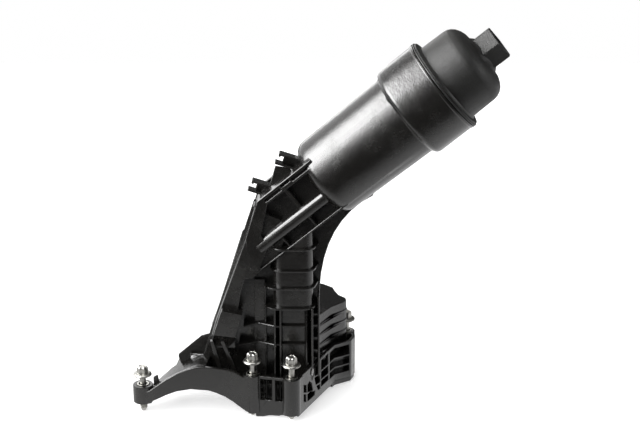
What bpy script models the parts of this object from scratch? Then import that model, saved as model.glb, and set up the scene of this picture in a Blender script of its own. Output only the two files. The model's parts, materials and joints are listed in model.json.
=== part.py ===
"""Oil filter housing of a car engine, with a tilted filter bowl on a ribbed tower.

Units are metres, +Z is up. The origin lies in the sealing face of the base, below the column.
+X points along the filter bowl as seen from above. The front of the object is -Y.
"""

import math

import bmesh
import bpy
from mathutils import Matrix, Vector

MM = 0.001

# Filter bowl, measured along its own axis from the middle of its foot.
AXIS_TILT = math.radians(39.34)
BOWL_FOOT_X = 23.1 * MM
BOWL_FOOT_Z = 187.6 * MM
BOWL_FOOT_RADIUS = 33.6 * MM
BOWL_DRAFT = 1.6 * MM
BOWL_STRAIGHT = 88 * MM
BOWL_CORNER = 11 * MM
BOWL_WALL = 3.2 * MM
BOWL_FLOOR = 9 * MM
COLLAR_STAND = 4.4 * MM
COLLAR_HEIGHT = 30 * MM
COLLAR_STEP = 6 * MM
COLLAR_WALL = 3.6 * MM
RIM_HEIGHT = 2.2 * MM
RIM_LIP = 0.7 * MM
DRAIN_RADIUS = 6 * MM
DRAIN_DEPTH = 6 * MM

# Screw cap.
CAP_BARREL_RADIUS = 33 * MM
CAP_BARREL_HEIGHT = 22 * MM
CAP_DOME_HEIGHT = 13 * MM
CAP_DOME_SHOULDER = 17 * MM
CAP_NECK_HEIGHT = 3 * MM
CAP_WALL = 2.8 * MM
CAP_FLANGE_HEIGHT = 2.6 * MM
CAP_FLANGE_STEP = 1.1 * MM
CAP_SKIRT_DEPTH = 22 * MM
CAP_SKIRT_WALL = 5 * MM
CAP_FIT = 0.4 * MM
HEX_ACROSS_FLATS = 27 * MM
HEX_HEIGHT = 14 * MM
HEX_TURN = math.radians(17.5)
HEX_CHAMFER = 1.2 * MM
CAP_RING_SECTION = 1.5 * MM
CAP_RING_DEPTH = 6 * MM
CAP_SOCKET_RADIUS = 14.6 * MM
CAP_SOCKET_WALL = 2 * MM
CAP_SOCKET_DEPTH = 16 * MM

# Filter element and the stem that carries it.
ELEMENT_CLEARANCE = 2.4 * MM
ELEMENT_LENGTH = 96 * MM
ELEMENT_REST = 4 * MM
PLEAT_COUNT = 32
PLEAT_DEPTH = 11 * MM
PAPER_THICKNESS = 1 * MM
DISC_THICKNESS = 2 * MM
DISC_OVERHANG = 1 * MM
SEAL_THICKNESS = 2.4 * MM
STEM_RADIUS = 11 * MM
STEM_WALL = 2 * MM
STEM_WINDOWS = 4
STEM_TIP_DEPTH = 5 * MM
STEM_ROOF = 2 * MM
STEM_RING_SECTION = 1 * MM
VALVE_SHELF = 2 * MM
VALVE_HOLE = 5 * MM
VALVE_RADIUS = 7.5 * MM
VALVE_THICKNESS = 1.8 * MM
SPRING_WIRE = 0.6 * MM
SPRING_RADIUS = 5.5 * MM
SPRING_HEIGHT = 18 * MM
SPRING_TURNS = 5

# Base with its bosses.
SKIRT_BOTTOM = 3.3 * MM
WALL_TOP = 38 * MM
WALL_THICKNESS = 3 * MM
DECK_TOP = 26 * MM
BOSS_RADIUS = 7.5 * MM
BOSS_BOTTOM = 4.9 * MM
BOSS_TOP = 36.9 * MM
SLEEVE_OUTER = 5.2 * MM
SLEEVE_INNER = 3.6 * MM
SLEEVE_STAND = 0.6 * MM
ARM_BOSS = (-120.5 * MM, -29.5 * MM)
ARM_BOSS_RADIUS = 8.3 * MM
ARM_BOSS_BOTTOM = 8.5 * MM
ARM_BOSS_TOP = 23.6 * MM
FRONT_LEFT = (-30.6 * MM, -37.5 * MM)
FRONT_RIGHT = (1.2 * MM, -45 * MM)
REAR_RIGHT = (46.6 * MM, 47.1 * MM)
REAR_LEFT = (-34 * MM, 52 * MM)
PORT_RADIUS = 7 * MM
PORT_DEPTH = 18 * MM
SEAL_LIP_HALF = 4 * MM
GASKET_HALF = 1.6 * MM
GASKET_HEIGHT = 2.6 * MM

# Captive screws, measured up from the tip that stands on the ground.
SCREW_SHANK = 2.6 * MM
SCREW_THREAD = 3 * MM
SCREW_THREAD_LENGTH = 16 * MM
SCREW_FLANGE = 7.7 * MM
SCREW_FLANGE_THICKNESS = 1.3 * MM
SCREW_HEAD = 4.6 * MM
SCREW_HEAD_HEIGHT = 7.3 * MM
LONG_SCREW = 47.2 * MM
SHORT_SCREW = 31.7 * MM

# Tower.
COLUMN_LEFT = -13.4 * MM
COLUMN_RIGHT = 18.8 * MM
COLUMN_FRONT = -24.5 * MM
COLUMN_BACK = -3 * MM
COLUMN_CORNER = 8 * MM
FIN_RIGHT = 23.9 * MM
FIN_FRONT = -8.5 * MM
FIN_BACK = -3.5 * MM
SIDE_WALL_LEFT = -21 * MM
RING_LEVELS = (88.4 * MM, 105.8 * MM, 120.9 * MM, 139.3 * MM)
RING_STAND = 2.4 * MM
RING_THICKNESS = 1.8 * MM
RIB = 1.7 * MM
FRAME_FRONT = -25.5 * MM
SPLIT = -7 * MM
FRAME_TOP_TUCK = 8.6 * MM
FRAME_BOTTOM_TUCK = 11.1 * MM
FRAME_POCKET = 12 * MM
SLOT_WIDTH = 2.4 * MM
FRAME_BAR = 7 * MM
ARM_WEB_FALL = math.radians(6)
PIPE_RADIUS = 6 * MM
PIPE_LIFT = -7 * MM
PIPE_Y = -20.5 * MM
COVER_BACK = 13 * MM
COVER_WALL = 2.6 * MM
FLANGE_THICKNESS = 2.2 * MM
FLANGE_STAND = 3 * MM

# Chamber behind the column.
CHAMBER_LEVEL = 72 * MM
CHAMBER_FALL = 0.17
CHAMBER_RISE = 0.09
CHAMBER_WALL = 3 * MM
GROOVE_LEVELS = (44 * MM, 53 * MM, 62 * MM)

# Gap kept between pieces that touch, and overlap between forms that are one moulding.
SEAT = 0.3 * MM
EMBED = 1 * MM

BOWL_TOP_RADIUS = BOWL_FOOT_RADIUS + BOWL_DRAFT
COLLAR_RADIUS = BOWL_TOP_RADIUS + COLLAR_STAND
ELEMENT_RADIUS = BOWL_FOOT_RADIUS - BOWL_WALL - ELEMENT_CLEARANCE
FRAME_TOP = BOWL_FOOT_RADIUS - FRAME_TOP_TUCK
FRAME_BOTTOM = FRAME_BOTTOM_TUCK - BOWL_FOOT_RADIUS
COLLAR_TOP = BOWL_STRAIGHT + COLLAR_STEP + COLLAR_HEIGHT
RIM_TOP = COLLAR_TOP + RIM_HEIGHT
COLLAR_BORE = COLLAR_RADIUS - COLLAR_WALL
CAP_FOOT = RIM_TOP + SEAT
FLANGE_TOP = CAP_FOOT + CAP_FLANGE_HEIGHT
BARREL_TOP = FLANGE_TOP + CAP_BARREL_HEIGHT
HEX_FOOT = BARREL_TOP + CAP_DOME_HEIGHT + CAP_NECK_HEIGHT
CAP_SKIRT_RADIUS = COLLAR_BORE - CAP_FIT
CAP_ROOF = BARREL_TOP + CAP_DOME_HEIGHT - CAP_WALL
ELEMENT_FOOT = BOWL_FLOOR + ELEMENT_REST
ELEMENT_TOP = ELEMENT_FOOT + ELEMENT_LENGTH
STEM_TOP = CAP_ROOF - 2 * MM
STEM_TIP = BOWL_FLOOR - STEM_TIP_DEPTH
VALVE_SEAT = STEM_TOP - STEM_ROOF - SPRING_HEIGHT - VALVE_THICKNESS - 3 * SEAT

FRONT_VIEW = Matrix(((1, 0, 0, 0), (0, 0, -1, 0), (0, 1, 0, 0), (0, 0, 0, 1)))
ALONG_FILTER = Matrix.Translation((BOWL_FOOT_X, 0, BOWL_FOOT_Z)) @ Matrix.Rotation(-AXIS_TILT, 4, "Y")
FILTER_AXIS = ALONG_FILTER @ Matrix.Rotation(math.pi / 2, 4, "Y")


def clear_scene():
    """Leaves an empty scene with a collection for the pieces and three for helper shapes."""
    for thing in list(bpy.data.objects):
        bpy.data.objects.remove(thing, do_unlink=True)
    found = []
    for name in ("oil_filter_housing", "housing_forms", "housing_cuts", "carving_shapes"):
        group = bpy.data.collections.new(name)
        bpy.context.scene.collection.children.link(group)
        found.append(group)
    return found


PIECES, FORMS, CUTS, CARVERS = clear_scene()


def material(name, colour, roughness, metallic=0.0):
    made = bpy.data.materials.new(name)
    made.use_nodes = True
    shader = made.node_tree.nodes["Principled BSDF"]
    shader.inputs["Base Color"].default_value = (*colour, 1.0)
    shader.inputs["Roughness"].default_value = roughness
    shader.inputs["Metallic"].default_value = metallic
    return made


NYLON = material("black_nylon", (0.018, 0.017, 0.016), 0.3)
CAP_NYLON = material("cap_nylon", (0.03, 0.029, 0.027), 0.5)
RUBBER = material("black_rubber", (0.02, 0.02, 0.02), 0.8)
ZINC = material("zinc_plated_steel", (0.62, 0.6, 0.56), 0.32, 1.0)
PAPER = material("filter_paper", (0.75, 0.62, 0.36), 0.9)
SPRING_STEEL = material("spring_steel", (0.5, 0.5, 0.5), 0.3, 1.0)


def place(name, mesh, group, finish, frame):
    """Makes an object of a mesh. A helper shape is drawn as wire and isn't a piece."""
    thing = bpy.data.objects.new(name, mesh)
    thing.matrix_world = frame
    group.objects.link(thing)
    if group is not PIECES:
        thing.hide_render = True
        thing.display_type = "WIRE"
    mesh.materials.append(finish)
    return thing


def mesh_of(curve):
    """The mesh of a curve, its caps joined to its sides and its faces turned outwards."""
    drawn = bpy.data.objects.new(curve.name, curve)
    bpy.context.scene.collection.objects.link(drawn)
    graph = bpy.context.evaluated_depsgraph_get()
    mesh = bpy.data.meshes.new_from_object(drawn.evaluated_get(graph))
    bpy.data.objects.remove(drawn)
    shape = bmesh.new()
    shape.from_mesh(mesh)
    bmesh.ops.remove_doubles(shape, verts=shape.verts, dist=0.00001)
    bmesh.ops.recalc_face_normals(shape, faces=shape.faces)
    shape.to_mesh(mesh)
    shape.free()
    return mesh


def plate(name, outlines, low, high, frame=Matrix(), group=FORMS, finish=NYLON):
    """Flat outlines in the frame's XY plane, the inner ones holes, thickened along its Z."""
    curve = bpy.data.curves.new(name, "CURVE")
    curve.dimensions = "2D"
    curve.fill_mode = "BOTH"
    curve.extrude = (high - low) / 2
    for outline in outlines:
        line = curve.splines.new("POLY")
        line.points.add(len(outline) - 1)
        for point, (across, along) in zip(line.points, outline):
            point.co = (across, along, 0, 1)
        line.use_cyclic_u = True
    mesh = mesh_of(curve)
    return place(name, mesh, group, finish, frame @ Matrix.Translation((0, 0, (low + high) / 2)))


def side_plate(name, outline, front, back, frame=Matrix(), group=FORMS, finish=NYLON):
    """An outline seen from the front, as points across and up, thickened from front to back."""
    return plate(name, [outline], -back, -front, frame @ FRONT_VIEW, group, finish)


def turned(name, profile, frame, steps, group=FORMS, finish=NYLON):
    """A profile of radius and height turned round the frame's Z, from top to bottom."""
    mesh = bpy.data.meshes.new(name)
    points = [(radius, 0, height) for radius, height in profile]
    edges = [(i, i + 1) for i in range(len(points) - 1)]
    if profile[0][0] > 0:
        edges.append((len(points) - 1, 0))
    mesh.from_pydata(points, edges, [])
    thing = place(name, mesh, group, finish, frame)
    screw = thing.modifiers.new("turn", "SCREW")
    screw.steps = steps
    screw.render_steps = steps
    screw.use_merge_vertices = True
    screw.merge_threshold = 0.00005
    screw.use_smooth_shade = True
    return thing


def arc(middle, across, up, start, end, steps):
    """Points on an ellipse from one angle in degrees to another."""
    turns = [math.radians(start + (end - start) * i / steps) for i in range(steps + 1)]
    return [(middle[0] + across * math.cos(t), middle[1] + up * math.sin(t)) for t in turns]


def bend(start, control, end, steps):
    """Points on a smooth bend from start to end that is drawn towards a control point."""
    points = []
    for i in range(1, steps):
        t = i / steps
        near, middle, far = (1 - t) ** 2, 2 * t * (1 - t), t * t
        points.append(tuple(near * a + middle * b + far * c for a, b, c in zip(start, control, end)))
    return [start, *points, end]


def box(name, low, high, frame=Matrix(), group=FORMS, finish=NYLON):
    """A straight box between two corners."""
    shape = bmesh.new()
    bmesh.ops.create_cube(shape, size=1)
    size = Vector(high) - Vector(low)
    bmesh.ops.scale(shape, vec=size, verts=shape.verts)
    bmesh.ops.translate(shape, vec=Vector(low) + size / 2, verts=shape.verts)
    mesh = bpy.data.meshes.new(name)
    shape.to_mesh(mesh)
    shape.free()
    return place(name, mesh, group, finish, frame)


def rod(name, radius, low, high, frame, steps=20, group=FORMS, finish=NYLON):
    """A round bar along the frame's Z."""
    return turned(name, [(0, high), (radius, high), (radius, low), (0, low)], frame, steps, group, finish)


def combine(piece, other, operation):
    """Adds a Boolean of one object, or of a whole collection, to a piece."""
    step = piece.modifiers.new(operation.lower(), "BOOLEAN")
    step.operation = operation
    if isinstance(other, bpy.types.Collection):
        step.operand_type = "COLLECTION"
        step.collection = other
    else:
        step.object = other
    return piece


def upright(middle):
    """A frame that stands at a place on the sealing face."""
    return Matrix.Translation((middle[0], middle[1], 0))


def wall_frame(start, end):
    """A frame at the start of a wall, with X along the wall, seen from outside it."""
    turn = math.atan2(end[1] - start[1], end[0] - start[0])
    return upright(start) @ Matrix.Rotation(turn, 4, "Z")


def inset(outline, distance):
    """The same outline moved inwards by a distance. Its points run anticlockwise."""
    count = len(outline)
    moved = []
    for i in range(count):
        before, here, after = (Vector(outline[(i + k) % count]) for k in (-1, 0, 1))
        first = (here - before).normalized()
        second = (after - here).normalized()
        inwards = Vector((-first.y, first.x))
        middle = (inwards + Vector((-second.y, second.x))).normalized()
        moved.append(tuple(here + middle * distance / middle.dot(inwards)))
    return moved


def beside(outline, level, side):
    """The part of an outline that lies behind a level, or in front of it where side is -1."""
    kept = []
    for here, after in zip(outline, outline[1:] + outline[:1]):
        inside = (here[1] - level) * side >= 0
        if inside:
            kept.append(here)
        if inside != ((after[1] - level) * side >= 0):
            share = (level - here[1]) / (after[1] - here[1])
            kept.append((here[0] + (after[0] - here[0]) * share, level))
    return kept


def in_mm(*points):
    """Outline points that are written in millimetres."""
    return [(across * MM, up * MM) for across, up in points]


LATTICE_WALLS = in_mm((7, -49), (36.8, 15), (50.4, 23.5), (54, 32))
BASE_OUTLINE = in_mm((-70, -38.5), (-32, -43.6), (-25.5, -42), (1.5, -48.4))
BASE_OUTLINE += LATTICE_WALLS
BASE_OUTLINE += in_mm((54, 49), (48.5, 54.5), (30, 61), (-26, 61), (-40, 58), (-47, 46), (-72, 12))
DECK_OUTLINE = in_mm(
    (-34, -40.4), (-32, -41.5), (-25.5, -40.4), (1, -46.6), (6, -47.2), (35.6, 16.2),
    (49.3, 24.6), (52.5, 32.4), (52.5, 48.4), (47.6, 53.1), (30, 59.5), (-26, 59.5),
    (-39, 57), (-46, 45), (-50, 10), (-40, -24),
)
SEAL_LINE = in_mm(
    (-37, -16), (-25, -25), (-17, -36), (-10, -37), (-3, -32), (9, -28), (24, 6), (38, 26), (38, 38),
    (30, 47), (-22, 47), (-34, 36), (-44, 8),
)
PORTS = in_mm((-18, -13), (3, -14), (-20, 22), (14, 24))
CHAMBER_OUTLINE = in_mm(
    (23, -1.2), (33.5, 17), (44, 29), (46.6, 34), (45.4, 37.5), (40, 40.5), (37, 46.5), (35, 52.5),
    (27, 56), (12, 58), (-6, 54), (-16, 42), (-18, 16), (-12, 0), (-6, -1.2),
)


def bowl():
    """The housing starts as the solid outside of its bowl, collar and rim."""
    corner = BOWL_CORNER
    profile = [(0, RIM_TOP), (COLLAR_RADIUS + RIM_LIP, RIM_TOP), (COLLAR_RADIUS + RIM_LIP, COLLAR_TOP)]
    profile += [(COLLAR_RADIUS, COLLAR_TOP - RIM_LIP)]
    step_width = COLLAR_RADIUS - BOWL_TOP_RADIUS
    shoulder = (COLLAR_RADIUS - step_width, BOWL_STRAIGHT + COLLAR_STEP)
    profile += arc(shoulder, step_width, COLLAR_STEP * 0.8, 0, -72, 4)
    profile += [(BOWL_TOP_RADIUS, BOWL_STRAIGHT)]
    profile += arc((BOWL_FOOT_RADIUS - corner, corner), corner, corner, 0, -90, 6)
    profile += [(0, 0)]
    return turned("housing", profile, FILTER_AXIS, 48, PIECES)


def bowl_space():
    """The space in the bowl for the element, the wider one for the cap, and the drain socket."""
    inner_foot = BOWL_FOOT_RADIUS - BOWL_WALL
    inner_top = BOWL_TOP_RADIUS - BOWL_WALL
    corner = BOWL_CORNER - BOWL_WALL
    cone_top = RIM_TOP - CAP_SKIRT_DEPTH - 3 * MM
    profile = [(0, RIM_TOP + EMBED), (COLLAR_BORE, RIM_TOP + EMBED), (COLLAR_BORE, cone_top)]
    profile += [(inner_top, cone_top - (COLLAR_BORE - inner_top))]
    profile += arc((inner_foot - corner, BOWL_FLOOR + corner), corner, corner, 0, -90, 4)
    profile += [(0, BOWL_FLOOR)]
    turned("bowl_space", profile, FILTER_AXIS, 48, CUTS)
    rod("drain_socket", DRAIN_RADIUS, BOWL_FLOOR - DRAIN_DEPTH, BOWL_FLOOR + EMBED, FILTER_AXIS, 24, CUTS)


def frame_corners():
    """Corners of the diagonal frame, as distances along the filter axis and up from it."""
    return [
        (12 * MM, FRAME_TOP), (-42 * MM, FRAME_TOP), (-70 * MM, 6 * MM),
        (-88 * MM, FRAME_BOTTOM), (12 * MM, FRAME_BOTTOM),
    ]  # fmt: skip


def diagonal_frame():
    """The open frame that carries the bowl, with cross ribs and the oil pipe in its pocket."""
    corners = frame_corners()
    block = side_plate("frame_block", corners, FRAME_FRONT, SPLIT - 0.2 * MM, ALONG_FILTER)
    inner = [(20 * MM, FRAME_TOP - FRAME_BAR), (-37.4 * MM, FRAME_TOP - FRAME_BAR), (-58 * MM, 1 * MM)]
    inner += [(-60 * MM, -9.5 * MM), (-78 * MM, FRAME_BOTTOM + RIB), (20 * MM, FRAME_BOTTOM + RIB)]
    floor = FRAME_FRONT + FRAME_POCKET
    pocket = side_plate("frame_pocket", inner, FRAME_FRONT - EMBED, floor, ALONG_FILTER, CARVERS)
    combine(block, pocket, "DIFFERENCE")
    for i, (near, far, rise) in enumerate(((-9.6, 12, 3.4), (-20, -11.6, 4.6), (-37, -21.6, 3.1))):
        slot_low = FRAME_TOP - FRAME_BAR + rise * MM - SLOT_WIDTH / 2
        slot_high = slot_low + SLOT_WIDTH
        slot = [(near * MM, slot_low), (far * MM, slot_low), (far * MM, slot_high), (near * MM, slot_high)]
        cut = side_plate(f"frame_slot_{i}", slot, FRAME_FRONT - EMBED, FRAME_FRONT + 4 * MM, ALONG_FILTER, CARVERS)
        combine(block, cut, "DIFFERENCE")
    for i, (along, thick) in enumerate(((-19.5 * MM, 3 * MM), (-47 * MM, RIB))):
        for part, (low, high, width) in enumerate(((FRAME_BOTTOM, PIPE_LIFT, RIB), (PIPE_LIFT, FRAME_TOP - RIB, thick))):
            low_corner = (along - width / 2, FRAME_FRONT + 3 * MM, low + RIB / 2)
            box(f"frame_rib_{i}_{part}", low_corner, (along + width / 2, floor + EMBED, high), ALONG_FILTER)
    pipe_line = ALONG_FILTER @ Matrix.Translation((0, PIPE_Y, PIPE_LIFT)) @ Matrix.Rotation(math.pi / 2, 4, "Y")
    rod("oil_pipe", PIPE_RADIUS, -67 * MM, 8 * MM, pipe_line, 24)
    ledge = PIPE_LIFT + PIPE_RADIUS - 0.1 * MM
    box("pipe_ledge", (-64 * MM, PIPE_Y, PIPE_LIFT - 2 * MM), (5 * MM, floor + EMBED, ledge), ALONG_FILTER)


DUCT_OUTLINE = in_mm(
    (-26, 172), (-34.4, 148), (-52, 98.4), (-60, 75.9), (-64, 62), (-50, 61), (-42.4, 84.9), (-39.6, 101.1),
    (-36.2, 112.6), (-26.3, 115.3), (-21, 124), (-8, 134), (0, 160),
)  # fmt: skip
DUCT_FOOT = in_mm((-60, 70), (-72, 42), (-74, 30), (-52, 24), (-44, 64))
DUCT_FLANGE = in_mm((-28.4, 176), (-66.2, 60.6), (-72, 41), (-66, 40), (-60, 60.6), (-22, 172))


def slanted_duct():
    """The duct that leads from the frame down to the base, with its pad, struts and weld flange."""
    side_plate("duct_front", DUCT_OUTLINE, FRAME_FRONT + 3.5 * MM, SPLIT - 0.4 * MM)
    side_plate("duct_foot", DUCT_FOOT, SPLIT - 6.3 * MM, SPLIT - 0.8 * MM)
    side_plate("duct_flange", DUCT_FLANGE, SPLIT - FLANGE_THICKNESS, SPLIT)
    outline = in_mm((-55.2, 88.2), (-38.4, 84.8), (-44.6, 63.5), (-47, 53), (-64.5, 57), (-61.2, 69.5))
    pad = side_plate("duct_pad", outline, -30.5 * MM, -16 * MM)
    trim_above(pad, Vector((-53 * MM, -30.5 * MM, 66.5 * MM)), Vector((-0.1, -1, -0.75)).normalized())
    left_strut = in_mm((-65, 61), (-62, 61), (-56.9, 42), (-52.8, 25.5), (-56, 25.5), (-60.2, 41))
    right_strut = in_mm((-56.6, 61), (-53.2, 61), (-44.8, 38.5), (-40.4, 25.5), (-43.7, 25.5), (-48, 37.5))
    side_plate("left_strut", left_strut, -28.5 * MM, -24 * MM)
    side_plate("right_strut", right_strut, -28.7 * MM, -24.2 * MM)
    box("strut_web", (-63.2 * MM, -25 * MM, 53.5 * MM), (-44.6 * MM, SPLIT - EMBED, 62.4 * MM))


def column_outline(stand, left, right, corner):
    """The column seen from above, with rounded front corners, moved outwards by a stand."""
    front = COLUMN_FRONT - stand
    turn = corner + stand
    points = [(left, COLUMN_BACK)]
    points += arc((left + turn, front + turn), turn, turn, 180, 270, 5)
    points += arc((COLUMN_RIGHT + stand - turn, front + turn), turn, turn, 270, 360, 5)
    return points + [(right, FIN_FRONT + EMBED), (right, COLUMN_BACK)]


def trim_above(thing, point, normal):
    """Cuts off what lies on the far side of a plane and closes the cut."""
    inverse = thing.matrix_world.inverted()
    shape = bmesh.new()
    shape.from_mesh(thing.data)
    everything = shape.verts[:] + shape.edges[:] + shape.faces[:]
    direction = inverse.to_3x3() @ normal
    bmesh.ops.bisect_plane(shape, geom=everything, plane_co=inverse @ point, plane_no=direction, clear_outer=True)
    bmesh.ops.holes_fill(shape, edges=[edge for edge in shape.edges if edge.is_boundary])
    bmesh.ops.recalc_face_normals(shape, faces=shape.faces)
    shape.to_mesh(thing.data)
    shape.free()
    return thing


def column():
    """The ribbed column: a round-fronted core, wrap-round ribs and upright ribs at its foot."""
    core = column_outline(0, COLUMN_LEFT, COLUMN_RIGHT, COLUMN_CORNER)
    shaft = plate("column_core", [core], RING_LEVELS[0] - EMBED, 190 * MM)
    up = ALONG_FILTER.to_3x3() @ Vector((0, 0, 1))
    trim_above(shaft, ALONG_FILTER @ Vector((0, 0, FRAME_BOTTOM + RIB)), up)
    low_core = [(x, y + (4 * MM if y < COLUMN_BACK - EMBED else 0)) for x, y in core]
    plate("column_foot", [low_core], DECK_TOP - EMBED, RING_LEVELS[0])
    for i, level in enumerate(RING_LEVELS):
        left = SIDE_WALL_LEFT if i < 2 else COLUMN_LEFT - RING_STAND
        ring = column_outline(RING_STAND, left, FIN_RIGHT - SEAT, COLUMN_CORNER)
        plate(f"column_ring_{i}", [ring], level - RING_THICKNESS / 2, level + RING_THICKNESS / 2)
    for i, across in enumerate((-13.2, -8.6, 12.2, 17)):
        low = (across * MM, COLUMN_FRONT - RING_STAND * 0.7, DECK_TOP - EMBED)
        high = (across * MM + RIB, COLUMN_FRONT + 10 * MM, RING_LEVELS[0])
        box(f"upright_rib_{i}", low, high)
    for i, level in enumerate((55 * MM, 71 * MM)):
        low = (-12 * MM, COLUMN_FRONT + 1 * MM, level)
        box(f"pocket_rib_{i}", low, (13 * MM, COLUMN_FRONT + 10 * MM, level + RIB))
    box("corner_rib", (FIN_RIGHT - RIB, -19 * MM, DECK_TOP - EMBED), (FIN_RIGHT, FIN_FRONT + EMBED, 96 * MM))
    for i, level in enumerate((48 * MM, 59 * MM, 70 * MM, 80 * MM)):
        rung_low = (COLUMN_RIGHT - EMBED, -18.4 * MM, level)
        box(f"corner_rung_{i}", rung_low, (FIN_RIGHT - RIB / 2, FIN_FRONT + EMBED, level + RIB))
    side_low = (SIDE_WALL_LEFT, -18 * MM, DECK_TOP - EMBED)
    box("side_wall", side_low, (SIDE_WALL_LEFT + RIB, COLUMN_BACK - EMBED, RING_LEVELS[1]))
    panel = in_mm((-58, 25), (-12, 25), (-12, 130), (-24, 123), (-36, 116), (-50, 88))
    side_plate("side_panel", panel, -12 * MM, -8 * MM)
    box("panel_strip", (-29 * MM, -15 * MM, DECK_TOP - EMBED), (-20 * MM, -9 * MM, 110 * MM))
    for i, (level, left) in enumerate(((54.5, -42), (71, -38))):
        shelf = in_mm((left, -9.5), (left, -24), (-26, -17), (-12.4, -24), (-12.4, -9.5))
        plate(f"panel_shelf_{i}", [shelf], level * MM, level * MM + RIB)


def gusset():
    """The tall smooth fin that sweeps from the column's right edge up to the bowl."""
    sweep = bend((FIN_RIGHT, 98 * MM), (26.5 * MM, 158 * MM), (67 * MM, 179.4 * MM), 8)
    top = [ALONG_FILTER @ Vector((along, 0, FRAME_BOTTOM + RIB / 2)) for along in (16 * MM, -30 * MM)]
    outline = [(10 * MM, 25 * MM), (FIN_RIGHT, 25 * MM), *sweep, (62 * MM, 190 * MM)]
    outline += [(point.x, point.z) for point in top] + [(8 * MM, 130 * MM)]
    side_plate("gusset", outline, FIN_FRONT, FIN_BACK)


def cable_clips():
    """Two open cable clips and the small plate between them, behind the top of the frame."""
    for i, (x, z) in enumerate(((-15.4, 182.2), (6.2, 204.6))):
        frame = Matrix.Translation((x * MM, -14 * MM, z * MM)) @ Matrix.Rotation(math.radians(18), 4, "Y")
        size = 17 * MM
        box(f"clip_{i}_upper", (-size, 0, 5 * MM), (4 * MM, 9 * MM, 6.8 * MM), frame)
        box(f"clip_{i}_lower", (-size - 1 * MM, 0.2 * MM, -3 * MM), (4.4 * MM, 9.2 * MM, -1.2 * MM), frame)
        box(f"clip_{i}_back", (-size + 5 * MM, 7 * MM, -2.5 * MM), (4.8 * MM, 8.6 * MM, 6 * MM), frame)
        box(f"clip_{i}_stop", (-size + 0.3 * MM, 0.5 * MM, 3.6 * MM), (-size + 2 * MM, 8.4 * MM, 6 * MM), frame)
    trapezoid = in_mm((-11.2, 204.8), (0.8, 202.8), (-0.6, 190), (-16.6, 184.6))
    side_plate("clip_plate", trapezoid, -12 * MM, -9 * MM)


ARM = wall_frame(ARM_BOSS, FRONT_LEFT)
ARM_TOP = in_mm(
    (3, 18.6), (8, 21.4), (13.8, 26.4), (20.6, 31.8), (29.5, 36.8), (37.3, 40.5), (45.2, 43.2), (52.9, 43.9),
    (61, 43.3), (70, 42.4), (77, 40.6), (83, 36.6), (91, 36.6),
)
ARM_UNDER = in_mm(
    (91, 4.4), (87, 5.4), (84, 7), (80.5, 9.6), (75, 14), (68.5, 18.2), (61, 21.4), (54.8, 23.2),
    (40.6, 23.7), (29, 21.2), (20, 17.4), (11.9, 13), (3, 9.2),
)


def arm():
    """The arched arm with its front wall, sloping web, far boss and small fins."""
    under = [(across, max(up, BOSS_BOTTOM + 0.2 * MM)) for across, up in ARM_UNDER]
    side_plate("arm_front", ARM_TOP + under, -7.2 * MM, -3.6 * MM, ARM)
    skin = [(across, up - 0.4 * MM) for across, up in ARM_TOP[:8]]
    skin += in_mm((54, 29), (92, 29), (92, 24.6), (50.5, 24.6), (49, 39.6), (37, 36.6), (28.5, 32.6))
    skin += in_mm((13.8, 22.2), (4, 15.5))
    side_plate("arm_web", skin, -9 * MM, 36 * MM, ARM @ Matrix.Rotation(-ARM_WEB_FALL, 4, "X"))
    plate("arm_boss", [arc(ARM_BOSS, ARM_BOSS_RADIUS, ARM_BOSS_RADIUS, 0, 345, 23)], ARM_BOSS_BOTTOM, ARM_BOSS_TOP)
    fin = in_mm((8.3, 18), (8.3, 28.8), (11.9, 31.2), (12.8, 25.4), (15, 22))
    side_plate("arm_fin", fin, 2 * MM, 3.8 * MM, ARM)
    rear = in_mm((-92.9, 38.1), (-92.5, 40.8), (-73.2, 57.3), (-65.8, 59.4), (-70.6, 42), (-71, 27), (-90, 29))
    side_plate("arm_gusset", rear, SPLIT - 1.6 * MM, SPLIT - 0.2 * MM)
    box("arm_tab", (-82.6 * MM, -12 * MM, 34.5 * MM), (-71.4 * MM, SPLIT - EMBED, 42.5 * MM))
    far_edge = in_mm((-130, -18), (-111.5, -20.5), (-95, -8), (-94, 13), (-78, 24), (-78, 60), (-140, 60))
    plate("arm_trim", [far_edge], 5 * MM, 60 * MM, Matrix(), CUTS)
    rib = in_mm((30, 14), (92, 14), (92, 25), (48, 25), (34, 29))
    side_plate("arm_back_rib", rib, 24 * MM, 27 * MM, ARM)


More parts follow.
